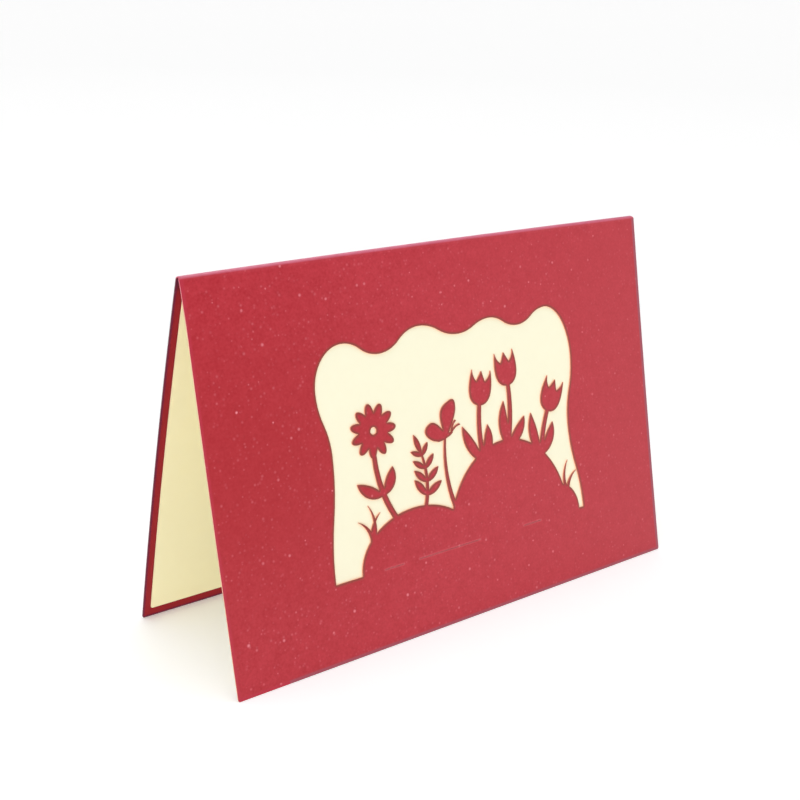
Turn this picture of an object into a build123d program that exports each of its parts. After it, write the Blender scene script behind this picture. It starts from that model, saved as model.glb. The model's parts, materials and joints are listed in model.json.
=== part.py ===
from build123d import *
import math
import os

# Folded greeting card that stands as a tent on its two free edges.
#
# Two sheets: a pearlescent card cover, scored and folded along its top and laser cut with
# a window in its front panel, and a thinner cream liner, folded inside it and glued to it
# face to face, which shows through the window. Millimetres, +Z up, the fold along X, the
# front panel towards -Y, the origin on the table under the middle of the fold.

# Card
card_width = 150.0
panel_height = 102.0
half_angle = 13.7
corner_radius = 0.6
fold_end_radius = 0.8

# Sheets
cover_thickness = 0.35
cover_fold_radius = 0.5
liner_thickness = 0.25
liner_fold_slack = 0.05
liner_side_border = 1.8
liner_foot_border = 2.8

# Window in the front panel
window_width = 88.0
window_height = 60.5
window_shift = 0.8
sill_height = 20.5
slit_width = 0.12

# Plants left standing in the window
stem_root_width = 1.7
stem_neck_width = 1.3
leaf_length = 13.0
leaf_width = 3.2
grass_length = 10.0
grass_width = 1.5
tulip_length = 9.6
tulip_width = 7.8
petal_length = 5.6
petal_width = 2.6
petals = 11
daisy_eye_radius = 2.3
daisy_hole_radius = 1.0

# Butterfly in the window
wing_length = 7.6
body_length = 5.6
body_width = 1.1
feeler_length = 3.6
feeler_width = 0.45

lean = math.radians(half_angle)
cover_outer_radius = cover_fold_radius + cover_thickness
cover_run = panel_height - cover_outer_radius
cover_fold_height = cover_run * math.cos(lean) - cover_fold_radius * math.sin(lean)


def folded_sheet(width, fold_height, inner_radius, thickness, run):
    """A sheet bent round its fold, with two flat panels of one run that lean out equally."""
    outer_radius = inner_radius + thickness

    def section_point(radius, along, side):
        across = radius * math.cos(lean) + along * math.sin(lean)
        height = fold_height + radius * math.sin(lean) - along * math.cos(lean)
        return (side * across, height)

    def face_line(radius):
        crown = (0, fold_height + radius)
        bend = ThreePointArc(section_point(radius, 0, -1), crown, section_point(radius, 0, 1))
        front = Line(section_point(radius, run, -1), section_point(radius, 0, -1))
        back = Line(section_point(radius, 0, 1), section_point(radius, run, 1))
        return front + bend + back

    def free_end(side):
        return Line(section_point(inner_radius, run, side), section_point(outer_radius, run, side))

    outline = face_line(outer_radius) + face_line(inner_radius) + free_end(-1) + free_end(1)
    sheet = extrude(Plane.YZ * make_face(outline), amount=width / 2, both=True)
    # The shortest straight edges run through the sheet at the four free corners.
    corners = sheet.edges().filter_by(GeomType.LINE).group_by(SortBy.LENGTH)[0]
    return fillet(corners, corner_radius)


def at(across, up):
    """A point of the window: across from -1 to 1 side to side, up from 0 at the sill to 1."""
    return Vector(across * window_width / 2, up * window_height)


def wave(points, heading):
    """A wave through its crests and troughs: two equal arcs, meeting midway, join each pair."""
    line = Curve()
    for start, end in zip(points, points[1:]):
        middle = (start + end) / 2
        first = TangentArc(start, middle, tangent=heading)
        line += first + TangentArc(middle, end, tangent=first % 1)
    return line


def shoulder(side, crest, start_angle):
    """A quarter ellipse from the side's last bulge to the top's outer crest."""
    centre = (crest.X, side.Y)
    reach = abs(crest.X - side.X)
    return EllipticalCenterArc(centre, reach, crest.Y - side.Y, start_angle, arc_size=90)


def window_outline():
    """A wavy frame on a straight sill, with a waist in each side and four lobes on top."""
    left = [at(-1.00, 0.00), at(-0.92, 0.54), at(-0.985, 0.80)]
    top = [
        at(-0.78, 0.985),
        at(-0.52, 0.915),
        at(-0.22, 1.000),
        at(0.08, 0.935),
        at(0.33, 0.980),
        at(0.56, 0.925),
        at(0.80, 0.985),
    ]
    right = [at(1.00, 0.74), at(0.925, 0.42), at(1.00, 0.00)]
    frame = wave(left, (0, 1)) + shoulder(left[-1], top[0], 90)
    frame += wave(top, (1, 0)) + shoulder(right[0], top[-1], 0) + wave(right, (0, -1))
    return make_face(frame + Line(right[-1], left[0]))


def mound(across, half_span, rise):
    """A round hill that stands on the sill."""
    return Pos(at(across, 0)) * Ellipse(half_span * window_width / 2, rise * window_height)


def heading_of(line, share):
    """The direction of a line, in degrees, at a share of its length."""
    direction = line % share
    return math.degrees(math.atan2(direction.Y, direction.X))


def stem_line(root, tip, bow):
    """The bowed middle line of a stem; the bow is its rise as a share of its length."""
    return SagittaArc(root, tip, bow * (tip - root).length)


def stalk(root, tip, bow, root_width, tip_width):
    """A bowed stalk that narrows from its root to its tip, or to a point."""
    chord = tip - root
    side = Vector(-chord.Y, chord.X).normalized()
    left = stem_line(root + side * root_width / 2, tip + side * tip_width / 2, bow)
    right = stem_line(root - side * root_width / 2, tip - side * tip_width / 2, bow)
    outline = left + right + Line(left @ 0, right @ 0)
    if tip_width > 0:
        outline += Line(left @ 1, right @ 1)
    return make_face(outline)


def leaf(base, heading, length, width, curl):
    """A pointed leaf of two arcs, of which curl makes one fuller than the other."""
    tip = base + Vector(length, 0).rotate(Axis.Z, heading)
    full_side = SagittaArc(base, tip, width * (0.5 + curl))
    slack_side = SagittaArc(base, tip, -width * (0.5 - curl))
    return make_face(full_side + slack_side)


def tulip_head(base, heading):
    """A cup with a round foot and three pointed petals."""
    half = tulip_width / 2
    shoulder = (-0.84 * half, tulip_length)
    notch = (-0.38 * half, 0.68 * tulip_length)
    flank = Spline((0, 0), (-0.80 * half, 0.18 * tulip_length), (-half, 0.5 * tulip_length), shoulder)
    rim = SagittaArc(shoulder, notch, -0.1 * half) + Line(notch, (0, 0.97 * tulip_length))
    left_half = make_face(flank + rim + Line((0, 0.97 * tulip_length), (0, 0)))
    head = left_half + mirror(left_half, about=Plane.YZ)
    return Pos(base) * Rot(0, 0, heading - 90) * head


def tulip(root, neck, bow):
    """A tulip on its stem, with one leaf on each side of the root."""
    middle = stem_line(root, neck, bow)
    heading = heading_of(middle, 1)
    sink = Vector(stem_neck_width, 0).rotate(Axis.Z, heading)
    plant = stalk(root, neck + sink, bow, stem_root_width, stem_neck_width)
    plant += tulip_head(neck, heading)
    plant += leaf(root, heading_of(middle, 0) + 19, leaf_length, leaf_width, 0.25)
    plant += leaf(root, heading_of(middle, 0) - 24, 0.8 * leaf_length, leaf_width, -0.25)
    return plant


def daisy(root, centre, bow, leaf_share):
    """A daisy on its stem: round-ended petals about an eye, and a pair of leaves below."""
    middle = stem_line(root, centre, bow)
    heading = heading_of(middle, leaf_share)
    plant = stalk(root, centre, bow, stem_root_width, stem_neck_width)
    plant += Pos(centre) * Circle(daisy_eye_radius)
    petal = Ellipse(petal_length / 2, petal_width / 2)
    plant += Pos(centre) * PolarLocations(daisy_eye_radius + 0.36 * petal_length, petals) * petal
    plant += leaf(middle @ leaf_share, heading + 42, 0.7 * leaf_length, leaf_width, 0.2)
    plant += leaf(middle @ leaf_share, heading - 46, 0.6 * leaf_length, leaf_width, -0.2)
    return plant - Pos(centre) * Circle(daisy_hole_radius)


def sprig(root, tip, bow, pairs):
    """A bowed twig with pairs of leaves that grow smaller towards its tip."""
    middle = stem_line(root, tip, bow)
    plant = stalk(root, tip, bow, stem_neck_width, 0.4 * stem_neck_width)
    for pair in range(pairs):
        share = 0.3 + 0.6 * pair / (pairs - 1)
        length = (0.55 - 0.27 * share) * leaf_length
        width = (0.75 - 0.35 * share) * leaf_width
        for side in (-1, 1):
            plant += leaf(middle @ share, heading_of(middle, share) + side * 48, length, width, 0)
    return plant + leaf(middle @ 0.93, heading_of(middle, 1), 0.45 * leaf_length, 0.5 * leaf_width, 0)


def tuft(root, headings):
    """A tuft of grass whose blades fan out from one root, the upright ones longest."""
    blades = Sketch()
    for heading in headings:
        reach = grass_length * (1 - abs(heading - 90) / 120)
        tip = root + Vector(reach, 0).rotate(Axis.Z, heading)
        blades += stalk(root, tip, math.copysign(0.14, 90 - heading), grass_width, 0)
    return blades


def wing(points):
    """A wing from its points, given as shares of the wing length from the body's middle."""
    return make_face(Spline([Vector(*point) * wing_length for point in points], periodic=True))


def butterfly(perch, heading):
    """A butterfly from its side, wings up, on a perch at the middle of its body."""
    insect = Ellipse(body_length / 2, body_width / 2)
    fore_wing = [(0.14, -0.02), (0.46, 0.3), (0.84, 0.82), (0.84, 1.04), (0.54, 1.08), (0.08, 0.76)]
    hind_wing = [(0.04, 0), (-0.08, 0.44), (-0.38, 0.72), (-0.72, 0.56), (-0.58, 0.16), (-0.18, -0.04)]
    insect += wing(fore_wing) + wing(hind_wing)
    brow = Vector(0.42 * body_length, 0)
    for feeler_heading in (14, 44):
        tip = brow + Vector(feeler_length, 0).rotate(Axis.Z, feeler_heading)
        insect += stalk(brow, tip, 0.12, feeler_width, feeler_width)
    return Pos(perch) * Rot(0, 0, heading) * insect


def meadow():
    """All that is left standing in the window, in one piece with the panel at the sill."""
    scene = mound(0.36, 0.50, 0.42) + mound(-0.38, 0.43, 0.23) + mound(0.80, 0.16, 0.14)
    scene += daisy(at(-0.50, 0.18), at(-0.62, 0.60), 0.10, 0.35)
    scene += sprig(at(-0.32, 0.18), at(-0.30, 0.47), -0.10, 4)
    scene += tulip(at(0.19, 0.34), at(0.19, 0.60), 0.05)
    scene += tulip(at(0.39, 0.38), at(0.44, 0.66), -0.05)
    scene += tulip(at(0.665, 0.30), at(0.75, 0.50), 0.04)
    scene += stalk(at(-0.04, 0.12), at(-0.10, 0.50), 0.08, grass_width, 0.4 * grass_width)
    scene += butterfly(at(-0.10, 0.50), 16)
    scene += tuft(at(-0.71, 0.13), (66, 92, 122)) + tuft(at(0.87, 0.09), (56, 84))
    return scene


def sill_slits():
    """Three fine laser slits along the sill, where the ground meets the panel."""
    slits = Sketch()
    for start, end in ((-0.65, -0.51), (-0.39, 0.09), (0.46, 0.61)):
        span = at(end, 0) - at(start, 0)
        slits += Pos(at(start, 0) + span / 2) * Rectangle(span.length, slit_width)
    return slits


def fold_end_outline():
    """A block whose outline, seen from the front, rounds off the two ends of the fold."""
    top = cover_fold_height + cover_outer_radius
    outline = Pos(0, top / 2) * Rectangle(card_width, top)
    fold_ends = outline.vertices().group_by(Axis.Y)[-1]
    return extrude(Plane.XZ * fillet(fold_ends, fold_end_radius), amount=panel_height, both=True)


def cover_card():
    """The card cover: the folded sheet with the window cut through its front panel."""
    sheet = folded_sheet(card_width, cover_fold_height, cover_fold_radius, cover_thickness, cover_run)
    sheet &= fold_end_outline()
    # The window is drawn on the front panel's outer face, a little right of its middle.
    sill_run = cover_run - sill_height
    sill_y = -cover_outer_radius * math.cos(lean) - sill_run * math.sin(lean)
    sill_z = cover_fold_height + cover_outer_radius * math.sin(lean) - sill_run * math.cos(lean)
    outward = (0, -math.cos(lean), math.sin(lean))
    front_face = Plane(origin=(window_shift, sill_y, sill_z), x_dir=(1, 0, 0), z_dir=outward)
    cut = window_outline() - meadow() + sill_slits()
    return sheet - extrude(front_face * cut, amount=2 * cover_thickness, both=True)


def liner_sheet():
    """The cream liner: folded a little slacker than the cover, its faces on the cover's."""
    outer_radius = cover_fold_radius + liner_fold_slack
    fold_drop = liner_fold_slack / math.sin(lean)
    run = cover_run - fold_drop * math.cos(lean) - liner_foot_border
    width = card_width - 2 * liner_side_border
    inner_radius = outer_radius - liner_thickness
    return folded_sheet(width, cover_fold_height - fold_drop, inner_radius, liner_thickness, run)


os.makedirs("parts", exist_ok=True)
for name, sheet in {"cover": cover_card(), "liner": liner_sheet()}.items():
    sheet.label = name
    export_step(sheet, f"parts/{name}.step")
    print(name, "volume", round(sheet.volume, 2), "mm3")
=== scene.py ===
import json
import math

import bpy
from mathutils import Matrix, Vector


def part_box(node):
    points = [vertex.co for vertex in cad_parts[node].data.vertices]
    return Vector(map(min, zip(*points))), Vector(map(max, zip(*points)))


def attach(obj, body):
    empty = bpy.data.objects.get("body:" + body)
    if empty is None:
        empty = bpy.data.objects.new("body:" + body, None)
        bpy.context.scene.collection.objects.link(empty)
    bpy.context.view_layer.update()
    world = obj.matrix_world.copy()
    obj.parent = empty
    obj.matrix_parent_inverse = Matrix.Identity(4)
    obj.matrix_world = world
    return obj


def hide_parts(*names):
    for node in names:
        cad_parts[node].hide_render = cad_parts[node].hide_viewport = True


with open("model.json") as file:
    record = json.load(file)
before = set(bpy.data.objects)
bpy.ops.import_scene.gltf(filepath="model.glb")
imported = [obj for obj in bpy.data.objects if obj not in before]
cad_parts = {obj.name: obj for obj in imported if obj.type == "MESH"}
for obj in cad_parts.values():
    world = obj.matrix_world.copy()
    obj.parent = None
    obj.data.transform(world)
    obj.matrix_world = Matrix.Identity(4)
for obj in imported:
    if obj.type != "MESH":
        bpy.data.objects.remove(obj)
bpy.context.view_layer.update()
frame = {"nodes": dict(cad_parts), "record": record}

# Card cover
# The real piece is one sheet of 300 g card, dyed red right through and coated with pearl
# lacquer, scored and folded along its top. Its window is burnt out by a laser. Its panels
# and its ridge bow a little, so it and the liner are copies of the flat solids, bowed alike.
bend_radius = 0.00085
cover_low, cover_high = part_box("cover")
half_width = cover_high.x
fold_height = cover_high.z - bend_radius
mounts = {mount["name"]: mount for mount in frame["record"]["mounts"]}
back_normal = Vector(mounts["back_panel"]["axis"])
front_normal = Vector((0, -back_normal.y, back_normal.z))

# A panel's run down from the centre of the fold, and the bows in the middle of each panel
# and of the ridge
panel_run = 0.10115
back_bow = 0.00105
front_bow = 0.00028
ridge_arch = 0.00036

# The front panel's left edge is trimmed a hair short of the back panel's. The trim grows
# from its start towards that edge, and over a share of the panel below the fold.
front_trim = 0.0003
trim_start = 0.06
trim_growth = 0.015
trim_fold_share = 0.05

# The strips that let a flat sheet follow the bows, and how it is merged and smoothed
strip_height = 0.008
strips_up = 13
strip_width = 0.015
strips_across = 10
merge_distance = 1e-6
sharp_edge_angle = 28


def bowed(point):
    """Where a point of the flat solids is in the bowed sheets."""
    sag, normal = (-front_bow, front_normal) if point.y < 0 else (back_bow, back_normal)
    down = abs(point.y) * back_normal.z + (fold_height - point.z) * back_normal.y
    share = min(max(down / panel_run, 0), 1)
    arch = ridge_arch * (1 - (point.x / half_width) ** 2) * (1 - share) ** 2
    trim = 0
    if point.y < 0:
        trim = front_trim * min(max(-point.x - trim_start, 0) / trim_growth, 1)
        trim *= min(share / trim_fold_share, 1)
    return point + normal * (4 * sag * share * (1 - share)) + Vector((trim, 0, arch))


def bowed_sheet(name, node, material, width_share=1.0):
    """A merged copy of a flat sheet at a share of its width, cut into strips and bowed."""
    sheet = bpy.data.objects.new(name, frame["nodes"][node].data.copy())
    bpy.context.scene.collection.objects.link(sheet)
    bpy.ops.object.select_all(action="DESELECT")
    bpy.context.view_layer.objects.active = sheet
    sheet.select_set(True)
    bpy.ops.mesh.customdata_custom_splitnormals_clear()
    bpy.ops.object.mode_set(mode="EDIT")
    bpy.ops.mesh.select_all(action="SELECT")
    bpy.ops.mesh.remove_doubles(threshold=merge_distance)
    levels = [step * strip_height for step in range(1, strips_up)]
    columns = [(step - strips_across / 2) * strip_width for step in range(1, strips_across)]
    for places, direction in ((levels, Vector((0, 0, 1))), (columns, Vector((1, 0, 0)))):
        for place in places:
            bpy.ops.mesh.select_all(action="SELECT")
            bpy.ops.mesh.bisect(plane_co=place * direction, plane_no=direction)
    bpy.ops.object.mode_set(mode="OBJECT")
    for vertex in sheet.data.vertices:
        vertex.co.x *= width_share
        vertex.co = bowed(vertex.co)
    bpy.ops.object.shade_smooth_by_angle(angle=math.radians(sharp_edge_angle))
    sheet.data.materials.clear()
    sheet.data.materials.append(material)
    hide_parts(node)
    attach(sheet, "root")


def colour(code):
    """An sRGB hex value as the linear colour that a shader takes."""
    channels = [int(code[i : i + 2], 16) / 255 for i in (1, 3, 5)]
    linear = [c / 12.92 if c <= 0.04045 else ((c + 0.055) / 1.055) ** 2.4 for c in channels]
    return (*linear, 1.0)


def millimetres(size):
    """The scale at which a pattern on Object coordinates repeats about every size mm."""
    return 1000 / size


def new_material(name):
    """An empty node material and its tree."""
    material = bpy.data.materials.new(name)
    material.use_nodes = True
    material.node_tree.nodes.clear()
    return material, material.node_tree


def add(tree, kind, settings=None, **links):
    """A node with its settings and inputs; an input is a value, a colour or what feeds it."""
    node = tree.nodes.new(kind)
    for name, value in (settings or {}).items():
        setattr(node, name, value)
    for name, value in links.items():
        socket = node.inputs[int(name[1:]) if name[0] == "_" else name.replace("_", " ")]
        if isinstance(value, bpy.types.Node):
            value = next(output for output in value.outputs if output.enabled)
        if isinstance(value, bpy.types.NodeSocket):
            tree.links.new(value, socket)
        else:
            socket.default_value = value
    return node


# The felt side of the card has clouds and fibres, sized in millimetres. They, the pits and
# the flakes are painted less clear to the right, where the flakes' glints fade in the light.
cloud_size = 3.0
cloud_weight = 0.6
fibre_size = 0.7
felt_detail = 2.0
darkest_felt = 0.5
palest_felt = 1.1
even_tone = 0.5
light_clarity_at_right = 0.5
dyed_red = colour("#AD1125")
lacquered_red = colour("#C22F3D")


def felt_side(tree, place, light_clarity):
    """The clouds and the fibres of the felt, and the tone that they give the card."""
    clouds, fibres = (
        add(
            tree, "ShaderNodeTexNoise", Vector=place,
            Scale=millimetres(size), Detail=felt_detail,
        )
        for size in (cloud_size, fibre_size)
    )
    felt = add(
        tree, "ShaderNodeMath", {"operation": "MULTIPLY_ADD"},
        _0=clouds, _1=cloud_weight, _2=fibres,
    )
    felt = add(
        tree, "ShaderNodeMapRange", Value=felt, From_Min=darkest_felt, From_Max=palest_felt,
    )
    tone = add(
        tree, "ShaderNodeMix", {"data_type": "FLOAT"}, _0=light_clarity, _2=even_tone, _3=felt,
    )
    return clouds, fibres, tone


# The lacquer has dark pits and mica flakes, whose glints are painted pale pink. Real ones are
# too fine for the picture, so these are as coarse as they need to be to show.
pit_red = colour("#8A0A1A")
flake_glint_pink = colour("#FFA0AC")


def specks(tree, place, cell, reach, empty_share, strength):
    """Soft specks, at most one to a cell of this size in mm, which reach a share of it."""
    cells = add(tree, "ShaderNodeTexVoronoi", Vector=place, Scale=millimetres(cell))
    draw = add(tree, "ShaderNodeSeparateColor", _0=cells.outputs["Color"])
    size = add(tree, "ShaderNodeMapRange", Value=draw.outputs[1], To_Min=reach / 2, To_Max=reach)
    speck = add(
        tree, "ShaderNodeMapRange", Value=cells.outputs["Distance"],
        From_Min=size, From_Max=0.0,
    )
    shown = add(
        tree, "ShaderNodeMapRange", Value=draw.outputs[0],
        From_Min=empty_share, From_Max=1.0, To_Min=0.0, To_Max=strength,
    )
    return add(tree, "ShaderNodeMath", {"operation": "MULTIPLY"}, _0=speck, _1=shown)


# A patch at the left of the front panel has a painted dark reflection in its sheen
dark_reflection_centre = (-0.062, 0, 0.05)
dark_reflection_edge = 0.06
dark_reflection_core = 0.01
dark_reflection_share = 0.55
dark_reflection_red = colour("#A80010")


def dark_reflection(tree, at, on_front):
    """How strongly the painted dark reflection shows in the patch."""
    upright = add(tree, "ShaderNodeCombineXYZ", X=at["X"], Z=at["Z"])
    gap = add(tree, "ShaderNodeVectorMath", {"operation": "DISTANCE"}, _0=upright, _1=dark_reflection_centre)
    darkness = add(
        tree, "ShaderNodeMapRange", Value=gap,
        From_Min=dark_reflection_edge, From_Max=dark_reflection_core, To_Max=dark_reflection_share,
    )
    return add(tree, "ShaderNodeMath", {"operation": "MULTIPLY"}, _0=darkness, _1=on_front)


# The inner faces look down and have no lacquer, and their bare red is painted a little deeper
# for shade. Painted shade darkens them in the corner beside the liner's edge, and painted
# shade lies on them high up in the fold.
inward_tilt = -0.15
corner_samples = 8
corner_shade_reach = 0.0006
corner_shade_starts = 0.95
corner_shade_full = 0.6
corner_shade_share = 0.8
shade_depth = 0.004
shade_share = 0.85
# The bare red is painted a little deeper, for the shade inside the fold
bare_shaded_red = colour("#9A121E")
corner_shaded_red = colour("#5E0A04")
shaded_red = colour("#2A0318")

# A painted pink highlight lies over the crown of the fold, where it faces up to the light,
# less so in the darker clouds of the felt
crown_starts = 0.245
crown_full = 0.95
crown_power = 0.6
crown_depth = 0.0025
darker_cloud = 0.3
paler_cloud = 0.7
darker_cloud_share = 0.8
crown_highlight_pink = colour("#D67A92")

# How far below the fold's centre the painted shade and crown highlight come to full strength
full_depth = 0.0005


def inner_faces(tree, tilt):
    """Where a face of a sheet looks down, into the tent."""
    return add(tree, "ShaderNodeMath", {"operation": "LESS_THAN"}, _0=tilt["Z"], _1=inward_tilt)


def corner_shade(tree, inside):
    """How deep the painted shade is in the corner beside the liner's edge."""
    corner = add(
        tree, "ShaderNodeAmbientOcclusion", {"samples": corner_samples}, Distance=corner_shade_reach,
    )
    corner_darkness = add(
        tree, "ShaderNodeMapRange", Value=corner.outputs["AO"],
        From_Min=corner_shade_starts, From_Max=corner_shade_full, To_Max=corner_shade_share,
    )
    return add(tree, "ShaderNodeMath", {"operation": "MULTIPLY"}, _0=corner_darkness, _1=inside)


def fold_shade(tree, at, inside):
    """How deep the shade is on the inner faces, high up in the fold."""
    shade = add(
        tree, "ShaderNodeMapRange", Value=at["Z"],
        From_Min=fold_height - shade_depth, From_Max=fold_height - full_depth,
        To_Max=shade_share,
    )
    return add(tree, "ShaderNodeMath", {"operation": "MULTIPLY"}, _0=shade, _1=inside)


def crown_highlight(tree, at, tilt, clouds):
    """How strongly the painted highlight shows on the crown of the fold."""
    crown = add(
        tree, "ShaderNodeMapRange", Value=tilt["Z"], From_Min=crown_starts, From_Max=crown_full,
    )
    crown = add(tree, "ShaderNodeMath", {"operation": "POWER"}, _0=crown, _1=crown_power)
    high = add(
        tree, "ShaderNodeMapRange", Value=at["Z"],
        From_Min=fold_height - crown_depth, From_Max=fold_height - full_depth,
    )
    uneven = add(
        tree, "ShaderNodeMapRange", Value=clouds,
        From_Min=darker_cloud, From_Max=paler_cloud, To_Min=darker_cloud_share,
    )
    for share in (high, uneven):
        crown = add(tree, "ShaderNodeMath", {"operation": "MULTIPLY"}, _0=crown, _1=share)
    return crown


# Three slits along the sill have a raised pale burr, and no smoke has browned them
slit_height = 0.02
slit_spans = ((-0.0278, -0.0216), (-0.0164, 0.0048), (0.0210, 0.0276))
burr_edge = 0.0005
burr_crest = 0.0001
burr_share = 0.2
smoke_gap = 0.0015
burr_pink = colour("#F0909A")


def slit_distance(tree, place, at):
    """How far a point is from the nearest slit."""
    away = 1.0
    for start, end in slit_spans:
        nearest = add(tree, "ShaderNodeClamp", Value=at["X"], Min=start, Max=end)
        slit = add(tree, "ShaderNodeCombineXYZ", X=nearest, Y=at["Y"], Z=slit_height)
        gap = add(tree, "ShaderNodeVectorMath", {"operation": "DISTANCE"}, _0=place, _1=slit)
        away = add(tree, "ShaderNodeMath", {"operation": "MINIMUM"}, _0=gap, _1=away)
    return away


# Cut walls lie across the sheet. In the window's zone the laser browns them and the rim of
# its cut. Those round the card are cut by a blade and show the dyed core: darker than the
# lacquer, but painted pale along the front panel's left edge, a highlight where light meets it.
zone_half_width = 0.06
zone_foot = 0.012
crown_clearance = 0.0002
facing_panel = 0.9
rim_samples = 16
smoked_reach = 0.0011
smoked_starts = 0.9995
smoked_full = 0.97
smoked_share = 0.9
smoked_rim = colour("#88382C")
smoked_wall = colour("#CC7A64")

# How far from the edge each bladed rim starts and is full, and how much narrower it is inside
side_rim_starts = 0.0012
side_rim_full = 0.0008
side_rim_inside = 0.0005
foot_rim_starts = 0.0011
foot_rim_full = 0.0006
foot_rim_inside = 0.0003
bladed_share = 0.85
# Left of this the front panel's rim is painted brighter, a highlight where the light meets it
lit_rim_from = -0.06
outer_rim = colour("#984A5A")
inner_rim = colour("#6C1038")
lit_rim_red = colour("#B8243C")

# The dyed core, and how far a face turns left as its painted highlight starts and is full
dyed_core = colour("#6A2838")
lit_starts = -0.2
lit_full = -0.8
lit_core = colour("#F2B498")
lit_core_by_fold = colour("#E4607A")
lit_core_turns = 0.085


def cut_walls(tree, normal):
    """Where a face lies across the sheet, so that it faces as neither panel does."""
    facing = 0.0
    for panel_normal in (front_normal, back_normal):
        along = add(
            tree, "ShaderNodeVectorMath", {"operation": "DOT_PRODUCT"},
            _0=normal, _1=panel_normal,
        )
        along = add(tree, "ShaderNodeMath", {"operation": "ABSOLUTE"}, _0=along)
        facing = add(tree, "ShaderNodeMath", {"operation": "MAXIMUM"}, _0=along, _1=facing)
    return add(tree, "ShaderNodeMath", {"operation": "LESS_THAN"}, _0=facing, _1=facing_panel)


def laser_rim(tree):
    """How far the laser has smoked the rim of its cut, by how far a rounded edge turns there."""
    rounded = add(tree, "ShaderNodeBevel", {"samples": rim_samples}, Radius=smoked_reach)
    flat = add(tree, "ShaderNodeNewGeometry").outputs["True Normal"]
    turned = add(
        tree, "ShaderNodeVectorMath", {"operation": "DOT_PRODUCT"}, _0=rounded, _1=flat,
    )
    return add(
        tree, "ShaderNodeMapRange", Value=turned,
        From_Min=smoked_starts, From_Max=smoked_full, To_Max=smoked_share,
    )


def blade_rim(tree, at, sideways, inside):
    """How far the blade has pressed the rim, in a narrower band on the inner faces."""
    from_side = add(
        tree, "ShaderNodeMath", {"operation": "SUBTRACT"}, _0=half_width, _1=sideways,
    )
    rims = 0.0
    for from_edge, starts, full, less in (
        (from_side, side_rim_starts, side_rim_full, side_rim_inside),
        (at["Z"], foot_rim_starts, foot_rim_full, foot_rim_inside),
    ):
        from_edge = add(
            tree, "ShaderNodeMath", {"operation": "MULTIPLY_ADD"},
            _0=inside, _1=less, _2=from_edge,
        )
        rim = add(
            tree, "ShaderNodeMapRange", Value=from_edge,
            From_Min=starts, From_Max=full, To_Max=bladed_share,
        )
        rims = add(tree, "ShaderNodeMath", {"operation": "MAXIMUM"}, _0=rim, _1=rims)
    return rims


def lit_left_edge(tree, at, tilt, on_front):
    """Where the dyed core is painted lit, and its colour there, which turns pink up to the fold.
    """
    leftward = add(
        tree, "ShaderNodeMapRange", Value=tilt["X"], From_Min=lit_starts, From_Max=lit_full,
    )
    lit_share = add(tree, "ShaderNodeMath", {"operation": "MULTIPLY"}, _0=leftward, _1=on_front)
    pink = add(
        tree, "ShaderNodeMapRange", Value=at["Z"],
        From_Min=lit_core_turns, From_Max=fold_height,
    )
    paint = add(
        tree, "ShaderNodeMix", {"data_type": "RGBA"},
        _0=pink, _6=lit_core, _7=lit_core_by_fold,
    )
    return lit_share, paint


def layered(tree, surface, layers):
    """The surface's colour under layers of paint, each at its own share, the last on top."""
    for share, paint in layers:
        surface = add(
            tree, "ShaderNodeMix", {"data_type": "RGBA"}, _0=share, _6=surface, _7=paint,
        )
    return surface


# The lacquer shines softly under a thin clear coat, and the bare inside is matt
lacquer_roughness = 0.42
lacquer_coat = 0.25
coat_roughness = 0.3
bare_roughness = 0.85
bare_coat = 0.0
grain_strength = 0.3
grain_depth = 0.00002
card_ior = 1.5


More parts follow.
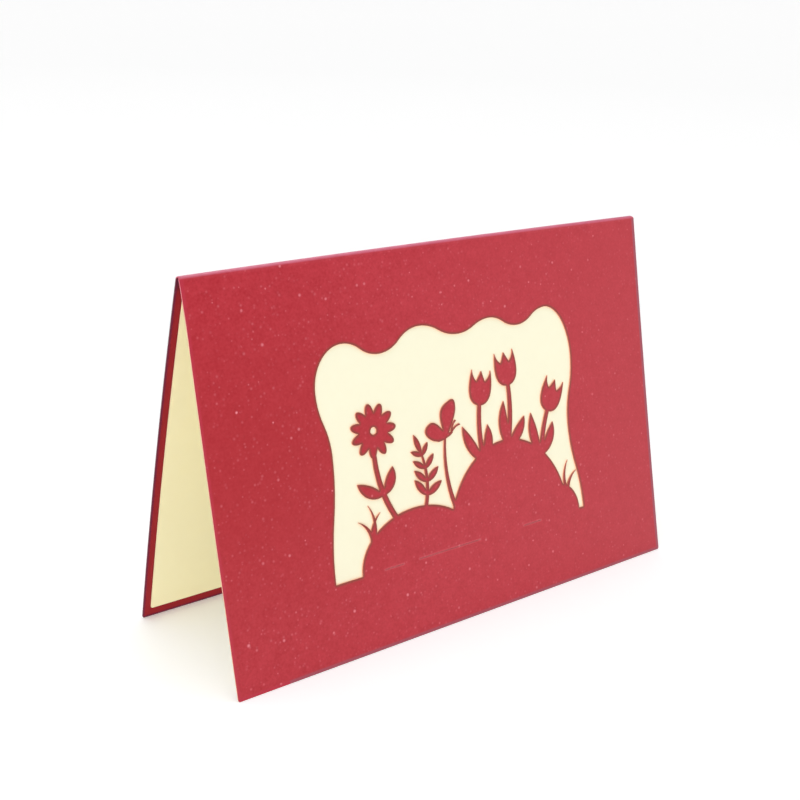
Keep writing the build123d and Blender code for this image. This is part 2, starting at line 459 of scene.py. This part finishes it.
def pearl_red_card():
    """Pearl lacquer on dyed card: a soft sheen, mica flakes, and a fold and cuts that show,
    with painted glints, highlights and shade.
    """
    material, tree = new_material("pearl_red_card")
    coordinates = add(tree, "ShaderNodeTexCoord")
    place, normal = coordinates.outputs["Object"], coordinates.outputs["Normal"]
    at = add(tree, "ShaderNodeSeparateXYZ", Vector=place).outputs
    tilt = add(tree, "ShaderNodeSeparateXYZ", Vector=normal).outputs
    sideways = add(tree, "ShaderNodeMath", {"operation": "ABSOLUTE"}, _0=at["X"])
    on_front = add(tree, "ShaderNodeMath", {"operation": "LESS_THAN"}, _0=at["Y"], _1=0.0)
    inside = inner_faces(tree, tilt)

    # The felt, dark pits, and painted glints: a shimmer of faint mica flakes and a few that glint
    # The marks are painted fading to the right, as their glints fade in the light there
    light_clarity = add(
        tree, "ShaderNodeMapRange", Value=at["X"],
        From_Min=half_width, From_Max=-half_width, To_Min=light_clarity_at_right,
    )
    clouds, fibres, tone = felt_side(tree, place, light_clarity)
    pits = specks(tree, place, cell=0.95, reach=0.4, empty_share=0.35, strength=0.35)
    shimmer = specks(tree, place, cell=1.2, reach=0.42, empty_share=0.2, strength=0.27)
    glints = specks(tree, place, cell=2.4, reach=0.23, empty_share=0.5, strength=0.95)
    flake_glints = add(tree, "ShaderNodeMath", {"operation": "MAXIMUM"}, _0=shimmer, _1=glints)
    pits, flake_glints = (
        add(tree, "ShaderNodeMath", {"operation": "MULTIPLY"}, _0=marks, _1=light_clarity)
        for marks in (pits, flake_glints)
    )

    # The slits: their burr, and the card far enough from them for smoke to have browned it
    away = slit_distance(tree, place, at)
    burr = add(
        tree, "ShaderNodeMapRange", Value=away,
        From_Min=burr_edge, From_Max=burr_crest, To_Max=burr_share,
    )
    burr = add(tree, "ShaderNodeMath", {"operation": "MULTIPLY"}, _0=burr, _1=on_front)
    browned = add(tree, "ShaderNodeMath", {"operation": "GREATER_THAN"}, _0=away, _1=smoke_gap)

    # The cut walls and their rims, the window's apart from those round the card
    within = add(
        tree, "ShaderNodeMath", {"operation": "LESS_THAN"}, _0=sideways, _1=zone_half_width,
    )
    raised = add(tree, "ShaderNodeMath", {"operation": "GREATER_THAN"}, _0=at["Z"], _1=zone_foot)
    window = add(tree, "ShaderNodeMath", {"operation": "MULTIPLY"}, _0=within, _1=raised)
    wall = cut_walls(tree, normal)
    rim = add(
        tree, "ShaderNodeMix", {"data_type": "FLOAT"},
        _0=window, _2=blade_rim(tree, at, sideways, inside), _3=laser_rim(tree),
    )
    below = add(
        tree, "ShaderNodeMath", {"operation": "LESS_THAN"},
        _0=at["Z"], _1=fold_height + crown_clearance,
    )
    for share in (below, browned):
        wall = add(tree, "ShaderNodeMath", {"operation": "MULTIPLY"}, _0=wall, _1=share)
        rim = add(tree, "ShaderNodeMath", {"operation": "MULTIPLY"}, _0=rim, _1=share)
    # At the front's left, the rim is painted brighter as a highlight
    left = add(tree, "ShaderNodeMath", {"operation": "LESS_THAN"}, _0=at["X"], _1=lit_rim_from)
    lit_rim_share = add(tree, "ShaderNodeMath", {"operation": "MULTIPLY"}, _0=left, _1=on_front)
    rim_paint = layered(
        tree, outer_rim, ((inside, inner_rim), (lit_rim_share, lit_rim_red), (window, smoked_rim)),
    )
    # The front panel's left walls are painted pale as a highlight
    lit_share, lit_paint = lit_left_edge(tree, at, tilt, on_front)
    wall_paint = layered(tree, dyed_core, ((lit_share, lit_paint), (window, smoked_wall)))

    # The whole finish, from the dyed card up
    dyed_card = add(
        tree, "ShaderNodeMix", {"data_type": "RGBA"},
        _0=tone, _6=dyed_red, _7=lacquered_red,
    )
    # Painted light and shade among these: the dark reflection, the glints, the deeper bare red,
    # the corner and fold shade, the crown's highlight, and the lit rim and walls at the left
    layers = (
        (dark_reflection(tree, at, on_front), dark_reflection_red),
        (pits, pit_red),
        (flake_glints, flake_glint_pink),
        (inside, bare_shaded_red),
        (corner_shade(tree, inside), corner_shaded_red),
        (fold_shade(tree, at, inside), shaded_red),
        (crown_highlight(tree, at, tilt, clouds), crown_highlight_pink),
        (rim, rim_paint),
        (wall, wall_paint),
        (burr, burr_pink),
    )
    surface = layered(tree, dyed_card, layers)
    grain = add(
        tree, "ShaderNodeBump", Strength=grain_strength, Distance=grain_depth, Height=fibres,
    )
    roughness = add(
        tree, "ShaderNodeMapRange", Value=inside,
        To_Min=lacquer_roughness, To_Max=bare_roughness,
    )
    coat = add(
        tree, "ShaderNodeMapRange", Value=inside, To_Min=lacquer_coat, To_Max=bare_coat,
    )
    shader = add(
        tree, "ShaderNodeBsdfPrincipled", Base_Color=surface, Roughness=roughness,
        IOR=card_ior, Coat_Weight=coat, Coat_Roughness=coat_roughness, Normal=grain,
    )
    add(tree, "ShaderNodeOutputMaterial", Surface=shader)
    return material


bowed_sheet("card_cover", "cover", pearl_red_card())

# Cream liner
# The real piece is one sheet of 200 g uncoated cream paper, folded inside the cover and
# glued to it. It shows through the window and on the inside of the back panel, and it is
# shown 0.35 mm narrower at each side than its solid.
liner_width_share = 0.9952
paper_cloud_size = 2.5
paper_detail = 4.0
peach_reach = 0.0014
peach_starts = 0.98
peach_full = 0.6
peach_share = 0.85
paper_roughness = 0.8
paper_ior = 1.5
outer_creams = (colour("#F8F4D7"), colour("#FAF7DB"))
bounce_lit_creams = (colour("#FCF3C6"), colour("#FDF5CB"))
smoke_and_shade_peach = colour("#FFDCB4")


def cream_uncoated_paper():
    """Uncoated paper: matt, with soft clouds of fibre, and painted a deeper, warmer cream on its
    inside for the light bounced about in the fold.
    """
    material, tree = new_material("cream_uncoated_paper")
    coordinates = add(tree, "ShaderNodeTexCoord")
    place, normal = coordinates.outputs["Object"], coordinates.outputs["Normal"]
    tilt = add(tree, "ShaderNodeSeparateXYZ", Vector=normal).outputs
    clouds = add(
        tree, "ShaderNodeTexNoise", Vector=place,
        Scale=millimetres(paper_cloud_size), Detail=paper_detail,
    )
    # The inside gets warmer creams, painted for the light bounced about in the fold
    outer, bounce_lit_cream = (
        add(tree, "ShaderNodeMix", {"data_type": "RGBA"}, _0=clouds, _6=darker, _7=paler)
        for darker, paler in (outer_creams, bounce_lit_creams)
    )

    # Beside the cut a faint peach is painted where the corner lies in shade: partly a stain
    # from the laser's smoke, partly painted warm shade
    corner = add(
        tree, "ShaderNodeAmbientOcclusion", {"samples": corner_samples}, Distance=peach_reach,
    )
    peach_tint = add(
        tree, "ShaderNodeMapRange", Value=corner.outputs["AO"],
        From_Min=peach_starts, From_Max=peach_full, To_Max=peach_share,
    )
    surface = layered(tree, outer, ((inner_faces(tree, tilt), bounce_lit_cream), (peach_tint, smoke_and_shade_peach)))
    shader = add(
        tree, "ShaderNodeBsdfPrincipled", Base_Color=surface,
        Roughness=paper_roughness, IOR=paper_ior,
    )
    add(tree, "ShaderNodeOutputMaterial", Surface=shader)
    return material


bowed_sheet("cream_liner", "liner", cream_uncoated_paper(), liner_width_share)

# Table
# The card stands on a plain sheet of white paper, which takes its shadow. As the camera
# sees it, the paper is lifted to white: a little everywhere, and more round the card and
# along the front panel's foot, where the card's red and its shade would tint it.
table_half = 20.0
table_white = colour("#F7F7F7")
full_white = colour("#FFFFFF")
foot_ahead = 0.005
lift_all_over = 0.05

# Up to what distance each lift is full, where it ends, and how strong it is
lift_far_round = (0.5, 1.6, 0.05)
lift_close_round = (0.09, 0.17, 0.08)
lift_at_foot = (0.005, 0.05, 0.09)


def white_table_paper():
    """White paper: matt and even, with no grain that the eye can see."""
    material, tree = new_material("white_table_paper")
    spot = add(tree, "ShaderNodeTexCoord").outputs["Object"]
    at = add(tree, "ShaderNodeSeparateXYZ", Vector=spot).outputs
    from_card = add(tree, "ShaderNodeVectorMath", {"operation": "LENGTH"}, _0=spot)
    nearest = add(tree, "ShaderNodeClamp", Value=at["X"], Min=-half_width, Max=half_width)
    foot = add(tree, "ShaderNodeCombineXYZ", X=nearest, Y=cover_low.y - foot_ahead)
    from_foot = add(tree, "ShaderNodeVectorMath", {"operation": "DISTANCE"}, _0=spot, _1=foot)
    lift = lift_all_over
    for distance, (full_at, ends_at, share) in (
        (from_card, lift_far_round),
        (from_card, lift_close_round),
        (from_foot, lift_at_foot),
    ):
        part = add(
            tree, "ShaderNodeMapRange", Value=distance,
            From_Min=ends_at, From_Max=full_at, To_Max=share,
        )
        lift = add(tree, "ShaderNodeMath", {"operation": "ADD"}, _0=part, _1=lift)
    by_camera = add(tree, "ShaderNodeLightPath").outputs["Is Camera Ray"]
    lift = add(tree, "ShaderNodeMath", {"operation": "MULTIPLY"}, _0=by_camera, _1=lift)
    paper = add(tree, "ShaderNodeBsdfDiffuse", Color=table_white)
    glow = add(tree, "ShaderNodeEmission", Color=full_white, Strength=lift)
    both = add(tree, "ShaderNodeAddShader", _0=paper, _1=glow)
    add(tree, "ShaderNodeOutputMaterial", Surface=both)
    return material


bpy.ops.object.select_all(action="DESELECT")
bpy.ops.mesh.primitive_plane_add(size=2 * table_half, location=(0, 0, 0))
table = bpy.context.object
table.name = "table"
table.data.materials.append(white_table_paper())

# Light
# The room is bright: one soft box at the left lights the inside of the fold, one hangs
# above, one stands behind for the back panel, and a pale wall at the right glows in the
# lacquer.
room_level = 0.10
backdrop_level = 0.96
pale_wall_level = 1.10
pale_wall_power = 20.0
pale_wall_direction = Vector((0.786, -0.614, 0.05)).normalized()

world = bpy.data.worlds.new("bright_room")
world.use_nodes = True
world_tree = world.node_tree
world_tree.nodes.clear()
sky = add(world_tree, "ShaderNodeTexCoord").outputs["Generated"]
pale_wall = add(
    world_tree, "ShaderNodeVectorMath", {"operation": "DOT_PRODUCT"},
    _0=sky, _1=pale_wall_direction,
)
for operation, number in (("MAXIMUM", 0.0), ("POWER", pale_wall_power)):
    pale_wall = add(
        world_tree, "ShaderNodeMath", {"operation": operation}, _0=pale_wall, _1=number,
    )
level = add(
    world_tree, "ShaderNodeMath", {"operation": "MULTIPLY_ADD"},
    _0=pale_wall, _1=pale_wall_level, _2=room_level,
)
by_camera = add(world_tree, "ShaderNodeLightPath").outputs["Is Camera Ray"]
level = add(
    world_tree, "ShaderNodeMix", {"data_type": "FLOAT"},
    _0=by_camera, _2=level, _3=backdrop_level,
)
air = add(world_tree, "ShaderNodeBackground", Color=full_white, Strength=level)
add(world_tree, "ShaderNodeOutputWorld", Surface=air)
bpy.context.scene.world = world


def soft_box(name, direction, strength, spread):
    """A far soft box: it gives a white sheet turned to it this share of full white."""
    bpy.ops.object.light_add(type="SUN", location=(0, 0, 1))
    lamp = bpy.context.object
    lamp.name = name
    lamp.data.energy = strength * math.pi
    lamp.data.angle = math.radians(spread)
    lamp.rotation_euler = Vector(direction).to_track_quat("Z", "Y").to_euler()


soft_box("left_soft_box", direction=(-0.66, -0.74, 0.10), strength=0.78, spread=30)
soft_box("top_soft_box", direction=(-0.1, 0.1, 1.0), strength=0.75, spread=80)
soft_box("back_soft_box", direction=(0.45, 0.89, 0.06), strength=0.45, spread=40)

# Camera
# It stands where the photograph was taken from, with its place in metres and its turn in
# degrees. Place, turn, lens and framing are those that fit the card's edges in the photograph.
camera_place = (-0.205957, -0.247127, 0.169321)
camera_turn = (69.2991, -2.1532, -37.7173)
sensor_width = 36
focal_length = 56.329
framing_shift = 0.03047
near_clip = 0.01
far_clip = 100

camera_data = bpy.data.cameras.new("camera")
camera_data.sensor_width = sensor_width
camera_data.lens = focal_length
camera_data.shift_y = framing_shift
camera_data.clip_start = near_clip
camera_data.clip_end = far_clip
camera = bpy.data.objects.new("camera", camera_data)
camera.location = camera_place
camera.rotation_euler = [math.radians(angle) for angle in camera_turn]
bpy.context.scene.collection.objects.link(camera)
bpy.context.scene.camera = camera

bpy.context.scene.view_settings.view_transform = "Standard"
